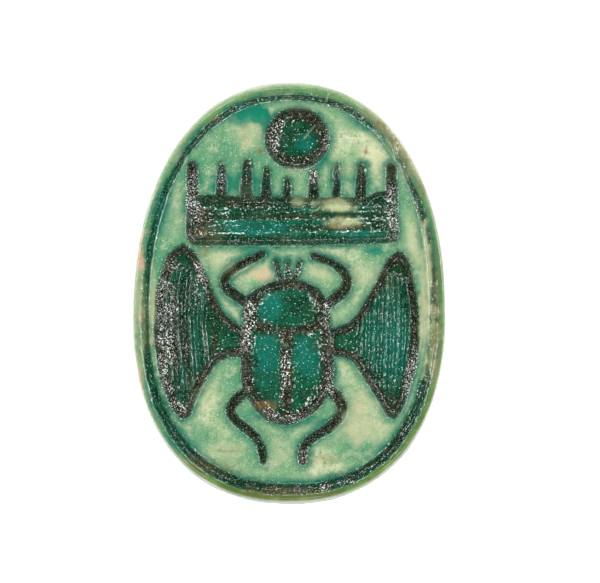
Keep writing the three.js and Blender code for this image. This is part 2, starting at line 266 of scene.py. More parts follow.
LEFT_WING = outline_of(
    [(-0.69, 0.235), (-0.79, 0.18), (-0.845, 0.06), (-0.88, -0.11), (-0.872, -0.25),
     (-0.83, -0.42), (-0.75, -0.565), (-0.682, -0.617)],
    [(-0.682, -0.617), (-0.63, -0.595), (-0.575, -0.49), (-0.49, -0.37), (-0.4, -0.317),
     (-0.27, -0.312)],
    [(-0.27, -0.312), (-0.27, -0.165)],
    [(-0.27, -0.165), (-0.36, -0.138), (-0.45, -0.06), (-0.545, 0.105), (-0.61, 0.19),
     (-0.69, 0.235)],
)
LEFT_FEATHERS = [
    [(-0.76, 0.1), (-0.805, -0.1), (-0.75, -0.43)],
    [(-0.7, 0.12), (-0.725, -0.12), (-0.68, -0.48)],
    [(-0.635, 0.1), (-0.645, -0.14), (-0.615, -0.45)],
    [(-0.56, -0.02), (-0.565, -0.16), (-0.545, -0.36)],
]
RIGHT_WING = outline_of(
    [(0.7, 0.212), (0.765, 0.17), (0.815, 0.05), (0.848, -0.12), (0.845, -0.26),
     (0.805, -0.4), (0.755, -0.53), (0.69, -0.607)],
    [(0.69, -0.607), (0.63, -0.58), (0.56, -0.49), (0.475, -0.395), (0.4, -0.32),
     (0.25, -0.3)],
    [(0.25, -0.3), (0.25, -0.163)],
    [(0.25, -0.163), (0.34, -0.152), (0.43, -0.1), (0.53, 0.025), (0.63, 0.165), (0.7, 0.212)],
)
RIGHT_FEATHERS = [
    [(0.755, 0.06), (0.785, -0.14), (0.755, -0.39)],
    [(0.7, 0.08), (0.71, -0.15), (0.69, -0.46)],
    [(0.635, 0.08), (0.632, -0.14), (0.62, -0.46)],
    [(0.555, -0.02), (0.55, -0.16), (0.545, -0.38)],
    [(0.475, -0.1), (0.47, -0.2), (0.465, -0.3)],
]
BODY = outline_of(
    [(-0.295, -0.03), (-0.308, -0.17), (-0.312, -0.33), (-0.298, -0.45), (-0.24, -0.54),
     (-0.14, -0.615), (-0.015, -0.637), (0.11, -0.605), (0.215, -0.54), (0.285, -0.445),
     (0.292, -0.33), (0.272, -0.17), (0.258, -0.045)],
    [(0.258, -0.045), (0.2, 0.015), (0.1, 0.058), (-0.01, 0.068), (-0.12, 0.05), (-0.22, 0.015),
     (-0.295, -0.03)],
)
LINE = 2 * OUTLINE_WIDTH / FACE_WIDTH
PLATES = [
    outline_of(
        [(-0.27 + LINE, -0.05), (-0.265 + LINE, -0.12), (-0.13, -0.163), (-0.01, -0.17),
         (0.11, -0.16), (0.235 - LINE, -0.13)],
        [(0.235 - LINE, -0.13), (0.245 - LINE, -0.06), (0.13, 0.018), (-0.01, 0.032),
         (-0.14, 0.01), (-0.27 + LINE, -0.05)],
    ),
    outline_of(
        [(-0.3 + LINE, -0.165), (-0.305 + LINE, -0.33), (-0.285 + LINE, -0.45), (-0.16, -0.55),
         (-0.035, -0.592)],
        [(-0.035, -0.592), (-0.042, -0.2)],
        [(-0.042, -0.2), (-0.13, -0.195), (-0.3 + LINE, -0.165)],
    ),
    outline_of(
        [(0.013, -0.2), (0.01, -0.592)],
        [(0.01, -0.592), (0.13, -0.553), (0.27 - LINE, -0.45), (0.28 - LINE, -0.33),
         (0.265 - LINE, -0.165)],
        [(0.265 - LINE, -0.165), (0.11, -0.19), (0.013, -0.2)],
    ),
]
CARVED_LEGS = [
    [(-0.27, -0.05), (-0.345, -0.014), (-0.405, 0.02), (-0.42, 0.06), (-0.37, 0.108),
     (-0.285, 0.146), (-0.175, 0.19)],
    [(0.235, -0.06), (0.3, -0.02), (0.36, 0.022), (0.372, 0.07), (0.335, 0.118),
     (0.26, 0.152), (0.155, 0.18)],
    [(-0.26, -0.475), (-0.335, -0.515), (-0.372, -0.568), (-0.34, -0.615), (-0.265, -0.66),
     (-0.2, -0.705), (-0.17, -0.755), (-0.158, -0.81)],
    [(0.25, -0.46), (0.32, -0.5), (0.35, -0.555), (0.318, -0.612), (0.23, -0.665),
     (0.14, -0.71), (0.098, -0.76), (0.1, -0.812)],
]
PRONGS = [
    [(-0.045, 0.03), (-0.088, 0.15)],
    [(-0.008, 0.03), (-0.012, 0.145)],
    [(0.022, 0.03), (0.064, 0.152)],
]
EDGE_POINTS = 360
OVAL_EDGE = np.column_stack(oval(np.arange(EDGE_POINTS) * 2 * np.pi / EDGE_POINTS, 1.0))


def edge_dark(within, reach):
    """Dark by the wall of a cut and clear on its open floor, a reach away from the wall."""
    return 1 - smoothstep(within, 0.4 * reach, reach)


def wander(x, y, long_seed, short_seed):
    """How far the graver strays: long waves and short ones, half of them to each side."""
    flat = np.zeros(x.shape)
    return (LONG_WANDER * (lumps(x, y, flat, LONG_WAVE, long_seed) - 0.5)
            + SHORT_WANDER * (lumps(x, y, flat, SHORT_WAVE, short_seed) - 0.5))


def floor_depth(standing, drop):
    """Depth of a cut's floor, which rises to a drop where something is left standing in it."""
    return CARVE_DEPTH - (CARVE_DEPTH - drop) * standing


def carving(x, y):
    """The carved face at places: depth under the face, how far inside the nearest cut a place
    is (less than 0 on the ground), and how dark the glaze lies there, from 0 to 1."""
    flat = np.zeros(x.shape)
    x = x + wander(x, y, 1, 2)
    y = y + wander(x, y, 3, 4)
    # Each cut is how far inside it a place is, its depth there and its darkness there.
    cuts = []

    # The border line is widest at the tail, double on the right and worn thin at the upper right.
    # Its glaze is dark, but for the left side.
    rim = inside_outline(x, y, OVAL_EDGE)
    turn = oval_turn(x, y)
    across = np.abs(rim - BORDER_INSET)
    worn = np.exp(-((turn - WORN_TURN) / 0.22) ** 2)
    width = BORDER_WIDTH * (1 - 0.3 * np.sin(turn)) * (1 - 0.6 * worn)
    double = 0.5 * smoothstep(np.cos(turn + 0.1), 0.75, 0.9) * np.exp(-((across / 0.05) ** 2))
    on_left = smoothstep(-np.cos(turn), 0.6, 0.9)
    cuts.append((width / 2 - across, BORDER_DEPTH * (1 - double) * (1 - 0.4 * worn),
                 BORDER_DARK - 0.5 * double - LEFT_CLEARED * on_left))

    disc_x, disc_y = on_face([DISC_PLACE])[0]
    disc = DISC_RADIUS - np.hypot((x - disc_x) / 1.02, (y - disc_y) / 0.98)
    cuts.append((disc, CARVE_DEPTH * (1 - 0.15 * smoothstep(disc, 0.3, 1.2)),
                 edge_dark(disc, 0.95)))

    panel = inside_outline(x, y, PANEL)
    streaks = lumps(x / 4, y, flat, 0.28, 5) + 0.9 * (lumps(x / 1.6, y, flat, 0.6, 7) - 0.5)
    streaks = 0.7 * smoothstep(streaks, 0.45, 0.9)
    standing = flat
    for line in PANEL_LINES:
        ridge = inside_stroke(
            x, y, [(-0.6, line - 0.01), (0, line), (0.62, line + 0.012)], RIDGE_WIDTH)
        standing = np.maximum(standing, 0.3 * smoothstep(ridge, -0.04, RIDGE_WIDTH / 2))
    rows = ROW_DARK * (1 - smoothstep(standing, 0.01, 0.2))
    cuts.append((panel, floor_depth(standing, RIDGE_DROP),
                 np.max([0.5 * edge_dark(panel, 0.36), streaks, rows], axis=0)))
    for place, top, width in TEETH:
        tooth = inside_stroke(
            x, y, [(place - 0.004, TOOTH_FOOT), (place, top)], width, width * TAPER)
        at_top = smoothstep(y, (top - 0.06) * face_length / 2, top * face_length / 2)
        cuts.append((tooth, STROKE_DEPTH * (1 - 0.5 * at_top), TOOTH_DARK + flat))
    for place in PANEL_ENDS:
        end = inside_stroke(x, y, [(place, 0.28), (place, 0.45), (place - 0.008, 0.61)],
                            END_WIDTH, END_WIDTH * 0.8)
        cuts.append((end, CARVE_DEPTH + flat, END_DARK + flat))

    streaks = smoothstep(lumps(x, y / 4, flat, 0.42, 6), 0.3, 0.8)
    for outline, feathers, shade in ((LEFT_WING, LEFT_FEATHERS, LEFT_WING_DARK),
                                     (RIGHT_WING, RIGHT_FEATHERS, RIGHT_WING_DARK)):
        wing = inside_outline(x, y, outline)
        standing = flat
        for feather in feathers:
            ridge = inside_stroke(x, y, feather, RIDGE_WIDTH)
            standing = np.maximum(standing, smoothstep(ridge, -0.05, RIDGE_WIDTH / 2))
        standing = standing * smoothstep(wing, 0.15, 0.35)
        between_ridges = (0.2 + 0.8 * streaks) * shade * (1 - 0.7 * standing)
        cuts.append((wing, floor_depth(standing, RIDGE_DROP),
                     np.maximum(edge_dark(wing, 0.6), between_ridges)))

    body = inside_outline(x, y, BODY)
    plate = np.max([inside_outline(x, y, outline) for outline in PLATES], axis=0)
    pillow = smoothstep(plate, -0.08, 0.42)
    cuts.append((body, floor_depth(pillow, PLATE_DROP),
                 BODY_DARK * (1 - smoothstep(plate, -0.05, 0.3))))
    for leg in CARVED_LEGS:
        cuts.append((inside_stroke(x, y, leg, LEG_WIDTH, LEG_WIDTH * TAPER),
                     STROKE_DEPTH + flat, LEG_DARK + flat))
    for prong in PRONGS:
        cuts.append((inside_stroke(x, y, prong, PRONG_WIDTH, PRONG_WIDTH * 0.8),
                     PRONG_DEPTH + flat, PRONG_DARK + flat))

    depth, inside, dark = flat, flat - OUTSIDE, flat
    for within, sunk, darkness in cuts:
        amount = smoothstep(within, WALL_START, WALL) * sunk
        dark = np.where(amount > depth, darkness, dark)
        depth = np.maximum(depth, amount)
        inside = np.maximum(inside, within)
    return depth, inside, dark


# The back
# The beetle's back is a dome with cut lines between its plates. Its head with a notched front
# stands in front of the shield, and three legs a side lie along the waist above the base.
BASE_THICKNESS = 1.5
FACE_EDGE_ROUNDING = 0.09
DOME_SHARE = 0.955
WAIST_SHARE = 0.9
DOME_HEIGHT = 4.0
WORN_DEPTH = 0.15
LEG_ROOM = 0.55
BACK_LINE_WIDTH = 0.4
BACK_LINE_DEPTH = 0.28
NECK_SHARE = 0.7
HEAD_LEVEL = 4.15
HEAD_RISE = 2.1
HEAD_RADIUS = 2.6
HEAD_LENGTH = 1.95
EYE_RADIUS = 0.62
HEAD_PLATE_RADIUS = 2.6
HEAD_PLATE_SETBACK = 0.2
HEAD_PLATE_THICKNESS = 0.6
HEAD_PLATE_TEETH = 6
# A nick at each shoulder: its place across, its half width and its length, in shares.
SHOULDER_NICK = (0.69, 0.08, 0.16)
LEG_RADIUS = 0.55
NOTCH_DEPTH = 0.035
NOTCHES_A_STEP = 1.5
ROOM_BLEND, HEAD_BLEND, EYE_BLEND, LEG_BLEND = 0.35, 0.25, 0.12, 0.2
BORE_DIAMETER = 1.5
BORE_HEIGHT = 5.45
plate_level = height - BASE_THICKNESS
dome_rise = DOME_HEIGHT + WORN_DEPTH
waist_level = DOME_HEIGHT + LEG_ROOM
neck = NECK_SHARE * face_length / 2
WING_SEAM = on_face([(0, 0.14), (0, -1.02)]) * DOME_SHARE
SHIELD_SEAM = DOME_SHARE * on_face(
    [(-1.02, 0.2), (-0.6, 0.16), (0, 0.14), (0.6, 0.16), (1.02, 0.2)])

# Rings of the side, from the dome's widest line up to the face: level, share and swell.
SIDE_RINGS = np.array([
    (DOME_HEIGHT, DOME_SHARE, 0),
    (DOME_HEIGHT + 0.6 * LEG_ROOM, DOME_SHARE - 0.02, 0),
    (waist_level, WAIST_SHARE, 0),
    (plate_level - 0.2, WAIST_SHARE, 0),
    (plate_level, 0.95, 0),
    (plate_level + 0.12, 1, 0.7),
    (plate_level + 0.4 * BASE_THICKNESS, 1, 1),
    (height - 3 * FACE_EDGE_ROUNDING, 1, 0.55),
    (height - FACE_EDGE_ROUNDING, 1, 0),
])
# Each place on a leg is its turn in degrees, its share of the way from the waist to the base and
# its share of the oval: a leg starts and ends inside the stone.
LEG_OUT, LEG_BURIED = 0.915, 0.8
LEG_PATHS = [
    [(30, 0, LEG_BURIED), (38, 0.15, LEG_OUT), (52, 0.55, LEG_OUT), (66, 0.85, LEG_OUT),
     (76, 0.9, LEG_BURIED)],
    [(24, 0, LEG_BURIED), (14, 0.2, LEG_OUT), (-4, 0.55, LEG_OUT), (-20, 0.85, LEG_OUT),
     (-28, 0.9, LEG_BURIED)],
    [(-22, 0, LEG_BURIED), (-32, 0.2, LEG_OUT), (-48, 0.55, LEG_OUT), (-66, 0.85, LEG_OUT),
     (-78, 0.9, LEG_BURIED)],
]


def swell_at(turn):
    """Swell of the edge in millimetres: the side's, rising to the end's by the squared sine."""
    return SIDE_SWELL + (END_SWELL - SIDE_SWELL) * np.sin(turn) ** 2


def leg_field(x, y, z):
    """Distance outside the nearest leg, a round bar along a smooth path, with a row of cut
    notches along it: the right legs serve both sides, because x is taken without its sign."""
    best = np.full(x.shape, float(OUTSIDE))
    for places in LEG_PATHS:
        turns, down, share = np.array(places).T
        px, py = oval(np.radians(turns), share)
        pz = waist_level + down * (plate_level - waist_level)
        path = curve(np.column_stack([px, py, pz]), 4)
        for i in range(len(path) - 1):
            start, run = path[i], path[i + 1] - path[i]
            t = ((np.abs(x) - start[0]) * run[0] + (y - start[1]) * run[1]
                 + (z - start[2]) * run[2]) / (run @ run)
            t = np.clip(t, 0, 1)
            gap = np.sqrt((np.abs(x) - start[0] - t * run[0]) ** 2
                          + (y - start[1] - t * run[1]) ** 2 + (z - start[2] - t * run[2]) ** 2)
            notch = NOTCH_DEPTH * (1 + np.cos(2 * np.pi * NOTCHES_A_STEP * (i + t)))
            best = np.minimum(best, gap - LEG_RADIUS + notch)
    return best


def ellipsoid(x, y, z, middle, radii):
    """Distance outside an ellipsoid, nearly: the radial distance to it from its middle."""
    offset = [v - m for v, m in zip((x, y, z), middle)]
    share = np.sqrt(sum((o / r) ** 2 for o, r in zip(offset, radii))) + 1e-6
    return np.sqrt(sum(o**2 for o in offset)) * (1 - 1 / share)


def back_field(x, y, z):
    """Distance outside the amulet below its face, nearly, with a minus inside."""
    share = oval_share(x, y)
    turn = oval_turn(x, y)
    radius = np.hypot(*oval(turn, 1.0))
    # The dome is half of an ellipsoid over the oval, and the side follows its rings.
    ball = np.sqrt((share / DOME_SHARE) ** 2 + ((DOME_HEIGHT - z) / dome_rise) ** 2) + 1e-6
    dome = np.sqrt(x**2 + y**2 + (z - DOME_HEIGHT) ** 2) * (1 - 1 / ball)
    ring = np.interp(z, SIDE_RINGS[:, 0], SIDE_RINGS[:, 1]) * radius
    ring = ring + np.interp(z, SIDE_RINGS[:, 0], SIDE_RINGS[:, 2]) * swell_at(turn)
    side = share * radius - ring
    # Lines cut between the shield and the wing cases, with a small nick at each shoulder.
    sx, sy = x / (DOME_SHARE * FACE_WIDTH / 2), y / (DOME_SHARE * face_length / 2)
    seams = [path_distance(x, y, path)[0] for path in (curve(SHIELD_SEAM), WING_SEAM)]
    gap = np.minimum(*seams) - BACK_LINE_WIDTH / 2
    out, half, deep = SHOULDER_NICK
    nick = np.maximum(np.abs(np.abs(sx) - out) - half * (sy / deep),
                      np.abs(sy - deep / 2) - deep / 2)
    gap = np.minimum(gap, nick * FACE_WIDTH / 2)
    dome = dome + BACK_LINE_DEPTH * (1 - smoothstep(gap, -0.14, 0.06))
    blank = np.where(z < DOME_HEIGHT, dome, side)
    # Room in front of the shield, whose wall bends down from the dome to the waist.
    t = np.linspace(0, 1, 12)
    wall_y = (1 - t) ** 2 * (neck - HEAD_LENGTH) + 2 * t * (1 - t) * neck + t**2 * neck
    wall_z = (-((1 - t) ** 2) * WORN_DEPTH + 2 * t * (1 - t) * 0.15 * DOME_HEIGHT
              + t**2 * waist_level)
    room = np.minimum((y - np.interp(z, wall_z, wall_y)) * 0.8, waist_level - z)
    blank = smooth_max(blank, room, ROOM_BLEND)
    # Head, eyes and the notched plate.
    skull = ellipsoid(x, y, z, (0, neck, HEAD_LEVEL), (HEAD_RADIUS, HEAD_LENGTH, HEAD_RISE))
    eye_place = (HEAD_RADIUS * 0.8, neck + 0.45 * HEAD_LENGTH, HEAD_LEVEL - 0.25 * HEAD_RISE)
    eyes = ellipsoid(np.abs(x), y, z, eye_place, [EYE_RADIUS] * 3)
    plate_y = y - (face_length / 2 - HEAD_PLATE_SETBACK - HEAD_PLATE_RADIUS)
    fan = np.arctan2(plate_y, x) / np.pi
    tooth = 0.5 - 0.5 * np.cos((fan - 0.1) / 0.8 * 2 * np.pi * HEAD_PLATE_TEETH)
    reach = HEAD_PLATE_RADIUS * (0.9 + 0.1 * tooth)
    plate = np.maximum(np.hypot(x, plate_y) - reach,
                       np.abs(z - HEAD_LEVEL - HEAD_PLATE_THICKNESS / 2) - HEAD_PLATE_THICKNESS / 2)
    plate = np.maximum(plate, -plate_y - 0.4 * HEAD_PLATE_RADIUS)
    head = smooth_min(smooth_min(skull, plate, HEAD_BLEND), eyes, EYE_BLEND)
    whole = smooth_min(blank, head, HEAD_BLEND)
    return smooth_min(whole, leg_field(x, y, z), LEG_BLEND)


# The mesh
# The face and the back are each a square grid bent onto the oval, ring by ring. The back's grid
# has half as many squares, and a strip of triangles joins each of its outer steps to two of the
# face's, so the skin is closed.
FACE_SQUARES = 272
BACK_SQUARES = FACE_SQUARES // 2
# The skin lies a little under the solid, so that its waves stay inside the solid's box.
SKIN_SINK = 0.02
LONG_RISE, SHORT_RISE = 0.03, 0.014
LONG_ROUGH, SHORT_ROUGH = 0.04, 0.02
GRIT_HEIGHT = 0.025
CHIP_DEPTH = 0.16
CORE_SHARE, CORE_LEVEL = 0.3, 5.0
MERIDIAN_REACH = 7.6
FIRST_REACH, LAST_REACH, REACHES, HALVINGS = 1.35, 0.45, 28, 14
BORE_SIDES = 48


def disc_grid(squares):
    """Turn and ring share of a square grid bent onto a disc: the ring share is the larger of
    the two coordinates, and the turn runs evenly round each square ring."""
    side = np.linspace(-1, 1, squares + 1)
    a, b = np.meshgrid(side, side)
    ring = np.maximum(np.abs(a), np.abs(b))
    safe = np.where(ring == 0, 1, ring)
    wide = np.abs(a) >= np.abs(b)
    turn = np.select(
        [wide & (a >= 0), wide, b > 0],
        [b / safe, 4 - b / safe, 2 - a / safe],
        a / safe - 2,
    )
    return (turn * np.pi / 4).ravel(), ring.ravel()


def face_surface():
    """Points of the carved face: the grid laid on the oval and sunk by the carving, with ground
    that undulates by a hair, grit in the cuts, and an edge that is rounded and worn."""
    turn, ring = disc_grid(FACE_SQUARES)
    x, y = oval(turn, ring)
    depth, _, _ = carving(x, y)
    flat = np.zeros(x.shape)
    wave = (LONG_RISE * (lumps(x, y, flat, 2.1, 11) - 0.5)
            + SHORT_RISE * (lumps(x, y, flat, 0.5, 12) - 0.5))
    grit = GRIT_HEIGHT * (lumps(x, y, flat, 0.13, 13) - 0.5) * smoothstep(depth, 0.06, 0.2)
    rim = np.maximum(inside_outline(x, y, OVAL_EDGE), 0) * (ring < 0.999)
    worn = np.exp(-((turn - WORN_TURN) / 0.25) ** 2) * (1 - smoothstep(rim, 0.3, 0.6))
    chip = CHIP_DEPTH * worn * smoothstep(lumps(x, y, flat, 0.45, 14), 0.3, 0.8)
    inner = np.clip(FACE_EDGE_ROUNDING - rim, 0, FACE_EDGE_ROUNDING)
    fall = FACE_EDGE_ROUNDING - np.sqrt(FACE_EDGE_ROUNDING**2 - inner**2)
    sunk = depth + chip + SKIN_SINK - wave - grit
    z = height - fall - sunk * smoothstep(rim, 0, 0.08)
    return np.column_stack([x, y, np.minimum(z, height)])


def back_surface():
    """Points of the back: rays from an inner core out through a plain meridian, each ended at
    the outermost place where the field turns from outside to inside, found by halving."""
    turn, ring = disc_grid(BACK_SQUARES)
    # The meridian runs from the crown over the dome and up the side to the edge of the face.
    # Half of the rings lie on the dome and half on the side, where the legs are.
    angle = np.linspace(0, np.pi / 2, 30)
    share = np.concatenate([DOME_SHARE * np.sin(angle), SIDE_RINGS[1:, 1]])
    level = np.concatenate([DOME_HEIGHT - dome_rise * np.cos(angle), SIDE_RINGS[1:, 0]])
    swell = np.concatenate([0 * angle, SIDE_RINGS[1:, 2]])
    step = np.hypot(np.diff(share) * MERIDIAN_REACH, np.diff(level))
    length = np.concatenate([[0], np.cumsum(step)])
    at_dome = length[len(angle) - 1]
    along = np.interp(ring, [0, 0.5, 1], [0, at_dome, length[-1]])
    share, level, swell = (np.interp(along, length, value) for value in (share, level, swell))
    out = 1 + swell * swell_at(turn) / np.hypot(*oval(turn, 1.0))
    x, y = oval(turn, share)
    goal = np.column_stack([x * out, y * out, level])
    core = goal * (CORE_SHARE, CORE_SHARE, 0.12) + (0, 0, 0.88 * CORE_LEVEL)

    def outside(reach):
        place = core + reach[:, None] * (goal - core)
        return back_field(*place.T)

    steps = np.linspace(FIRST_REACH, LAST_REACH, REACHES)
    found = np.zeros(ring.shape, bool)
    outer, inner = np.full(ring.shape, steps[0]), np.full(ring.shape, steps[-1])
    for start, end in zip(steps[:-1], steps[1:]):
        hit = ~found & (outside(np.full(ring.shape, end)) < 0)
        outer[hit], inner[hit] = start, end
        found |= hit
    for _ in range(HALVINGS):
        middle = (outer + inner) / 2
        within = outside(middle) < 0
        inner = np.where(within, middle, inner)
        outer = np.where(within, outer, middle)
    place = core + ((inner + outer) / 2)[:, None] * (goal - core)
    x, y, z = place.T
    rough = (LONG_ROUGH * (lumps(x, y, z, 0.9, 21) - 0.5)
             + SHORT_ROUGH * (lumps(x, y, z, 0.25, 22) - 0.5))
    away = place - (0, 0, CORE_LEVEL)
    away /= np.linalg.norm(away, axis=1)[:, None]
    place = place + away * ((rough - SKIN_SINK) * smoothstep(1 - ring, 0, 0.03))[:, None]
    return np.column_stack([place[:, 0], place[:, 1], np.maximum(place[:, 2], 0)])


def grid_index(squares, first):
    """Indices of a square grid's points, whose first one is given."""
    return first + np.arange((squares + 1) ** 2).reshape(squares + 1, squares + 1)


def squares_of(index):
    """Four-sided faces between the points of a grid, counter-clockwise in the grid's plane."""
    return np.stack([index[:-1, :-1], index[:-1, 1:], index[1:, 1:], index[1:, :-1]],
                    axis=-1).reshape(-1, 4)


def ring_of(squares):
    """Rows and columns round a grid's edge, counter-clockwise from its lowest left corner."""
    step = np.arange(squares)
    none, full = np.zeros(squares, int), np.full(squares, squares)
    rows = np.concatenate([none, step, full, squares - step])
    columns = np.concatenate([step, full, squares - step, none])
    return rows, columns


def strip_between(face_index, back_index):
    """Triangles from the face's edge to the back's ring next to its edge: two on each outer
    step, and one on each inner step."""
    fine = face_index[ring_of(FACE_SQUARES)]
    first, middle, last = fine[::2], fine[1::2], np.roll(fine[::2], -1)
    rows, columns = ring_of(BACK_SQUARES)
    inner = back_index[np.clip(rows, 1, BACK_SQUARES - 1), np.clip(columns, 1, BACK_SQUARES - 1)]
    after = np.roll(inner, -1)
    steps = inner != after
    return np.vstack([
        np.column_stack([middle, first, inner]),
        np.column_stack([last, middle, after]),
        np.column_stack([after, middle, inner])[steps],
    ])


def bored(amulet):
    """The amulet with its thread hole: a long round bar is taken out of it along Y."""
    bpy.ops.mesh.primitive_cylinder_add(
        vertices=BORE_SIDES, radius=BORE_DIAMETER / 2 * MM, depth=2 * face_length * MM,
        location=(0, 0, BORE_HEIGHT * MM), rotation=(math.pi / 2, 0, 0))
    bar = bpy.context.object
    cut = amulet.modifiers.new("thread_hole", "BOOLEAN")
    cut.operation = "DIFFERENCE"
    cut.solver = "MANIFOLD"
    cut.object = bar
    bpy.context.view_layer.update()
    result = bpy.data.meshes.new_from_object(
        amulet.evaluated_get(bpy.context.evaluated_depsgraph_get()))
    amulet.modifiers.clear()
    bpy.data.objects.remove(bar)
    amulet.data = result


face_points = face_surface()
back_points = back_surface()
face_index = grid_index(FACE_SQUARES, 0)
back_index = grid_index(BACK_SQUARES, len(face_points))
quads = np.vstack([squares_of(face_index), squares_of(back_index[1:-1, 1:-1])[:, ::-1]])
triangles = strip_between(face_index, back_index)
points = np.vstack([face_points, back_points])
# The back's own edge points are not used, because the strip ends on the face's edge.
used = np.zeros(len(points), bool)
used[quads.ravel()] = True
new_index = np.cumsum(used) - 1
shape = bpy.data.meshes.new("carved_amulet")
shape.from_pydata((points[used] * MM).tolist(), [],
                  new_index[quads].tolist() + new_index[triangles].tolist())
amulet = bpy.data.objects.new("carved_amulet", shape)
bpy.context.collection.objects.link(amulet)
bored(amulet)
shape = amulet.data
shape.shade_smooth()


# The glaze's colours
# A thin alkaline glaze of copper green lies on the stone. It pooled dark in the cuts, is
# turquoise along their edges, and has gone pale or cream where it is thin or worn.

# A patch is its place in shares of the face's half width and half length, its half sizes in
# millimetres and its strength.
TURQUOISE = [
    (-0.36, 0.53, 1.4, 0.5, 0.9), (0.4, 0.53, 1.0, 0.5, 0.4), (-0.607, -0.229, 0.25, 1.6, 0.7),
    (-0.683, -0.4, 0.2, 0.6, 0.7), (-0.578, -0.037, 0.22, 0.8, 0.7), (0.706, -0.243, 0.4, 1.9, 0.9),
    (-0.25, 0.86, 1.2, 0.55, 1.8), (-0.212, 0.199, 0.75, 0.22, 0.8), (0.551, 0.205, 0.5, 0.22, 0.8),
    (0.2, 0.64, 0.4, 0.35, 0.7), (0.5, -0.76, 1.4, 0.6, 0.4), (-0.64, -0.7, 1.3, 0.6, 0.4),
    (0.2, -0.62, 1.0, 0.3, 0.6), (0.1, -0.9, 2.2, 0.5, 0.3), (-0.02, -0.7, 0.7, 0.35, 0.5),
    (-0.21, -0.59, 0.4, 0.3, 0.5), (-0.79, 0.36, 0.5, 1.0, 0.5), (0.45, 0.82, 1.1, 0.3, 0.5),
    (-0.112, -0.061, 0.5, 0.75, 1.0), (0.105, -0.3, 0.7, 1.0, 0.9), (-0.14, -0.3, 0.6, 1.2, 0.8),
    (0.104, 0.723, 0.5, 0.4, 0.9), (-0.25, 0.315, 2.2, 0.3, 1.2), (0.45, 0.28, 1.2, 0.25, 0.9),
    (0.6, -0.2, 0.9, 2.0, 0.7),
]
DARK = [
    (-0.293, 0.435, 2.2, 0.3, 0.9), (0.0, 0.372, 2.6, 0.14, 0.9), (0.0, 0.243, 4.6, 0.2, 0.8),
    (0.584, 0.383, 0.5, 0.9, 0.7), (-0.57, 0.34, 0.75, 1.0, 1.0), (-0.711, -0.18, 1.7, 3.6, 0.75),
    (0.714, 0.118, 0.7, 0.8, 0.7), (0.69, -0.535, 0.7, 0.7, 0.8), (0.1, -0.06, 0.8, 0.7, 0.45),
    (0.2, -0.24, 0.5, 0.5, 0.5), (-0.2, -0.5, 0.7, 0.35, 0.5), (0.14, -0.49, 0.8, 0.5, 0.45),
    (-0.13, -0.4, 1.0, 0.3, 0.3), (-0.02, 0.76, 0.6, 0.6, 0.5),
]
# Scratches in the glaze are real wear, drawn pale in the cream mark as painted highlight where they
# catch the light.
SCRATCH_WIDTH = 0.045
SCRATCHES = [
    [(0.155, 0.817), (0.085, 0.752)], [(0.185, 0.006), (0.165, -0.05), (0.145, -0.08)],
    [(0.22, 0.456), (0.18, 0.41), (0.14, 0.4)], [(0.22, 0.93), (0.24, 0.965)],
]
CREAM = [
    (-0.95, -0.1, 0.2, 3.2, 0.45), (0.88, 0.0, 0.3, 3.6, 1.3), (0.2, 0.1, 0.6, 0.35, 0.7),
    (-0.885, -0.1, 0.14, 2.2, 0.8), (-0.3, 0.5, 0.35, 0.5, 0.3), (0.8, 0.6, 0.5, 0.8, 0.6),
    (0.02, 0.6, 0.6, 0.35, 0.4), (0.38, 0.6, 1.0, 0.3, 0.3),
    (-0.266, 0.764, 0.6, 0.7, 0.4), (-0.242, 0.102, 0.7, 0.4, 0.8), (-0.165, 0.083, 0.5, 0.35, 1.0),
    (0.6, 0.68, 1.1, 1.2, 0.5), (0.465, -0.607, 1.1, 1.4, 0.75), (-0.43, 0.14, 0.9, 0.5, 0.5),
    (0.82, 0.25, 0.5, 1.6, 0.6), (0.93, -0.2, 0.3, 2.2, 0.85), (-0.36, -0.76, 1.0, 0.5, 0.5),
    (-0.06, -0.78, 0.5, 0.6, 0.5), (0.52, 0.09, 1.0, 0.6, 0.5), (0.057, 0.445, 0.45, 0.24, 1.0),
    (0.16, 0.44, 0.35, 0.16, 0.8), (0.31, 0.43, 0.85, 0.34, 1.3), (0.34, 0.345, 0.85, 0.3, 1.2),
    (-0.55, -0.48, 0.8, 0.7, 0.4), (0.1, 0.9, 1.6, 0.2, 0.3), (-0.97, -0.1, 0.3, 3.7, 0.8),
]
BROWN = [
    (0.0, -0.975, 3.2, 0.35, 0.4), (0.6, 0.83, 0.55, 0.25, 0.9), (0.745, 0.7, 0.2, 0.9, 0.8),
    (0.86, 0.57, 0.32, 0.9, 0.8), (0.94, 0.43, 0.26, 0.8, 0.7), (-0.5, -0.84, 1.6, 0.4, 0.3),
    (0.95, -0.2, 0.2, 3.4, 0.5), (-0.206, 0.687, 0.17, 0.17, 1.0), (0.483, 0.69, 0.16, 0.16, 1.0),
    (-0.493, 0.839, 0.16, 0.12, 0.9), (0.33, 0.33, 0.9, 0.14, 0.7),
    (-0.15, -0.545, 0.55, 0.18, 1.0), (-0.53, 0.28, 0.9, 0.5, 0.3), (0.33, 0.365, 0.3, 0.1, 0.8),
    (0.213, -0.768, 0.08, 0.08, 0.9), (0.241, -0.817, 0.1, 0.08, 0.9),
    (0.26, -0.733, 0.07, 0.07, 0.9), (-0.56, 0.2, 0.3, 0.25, 0.5), (0.2, -0.8, 0.9, 0.35, 0.35),
    (-0.4, -0.765, 0.8, 0.05, 0.6),
]
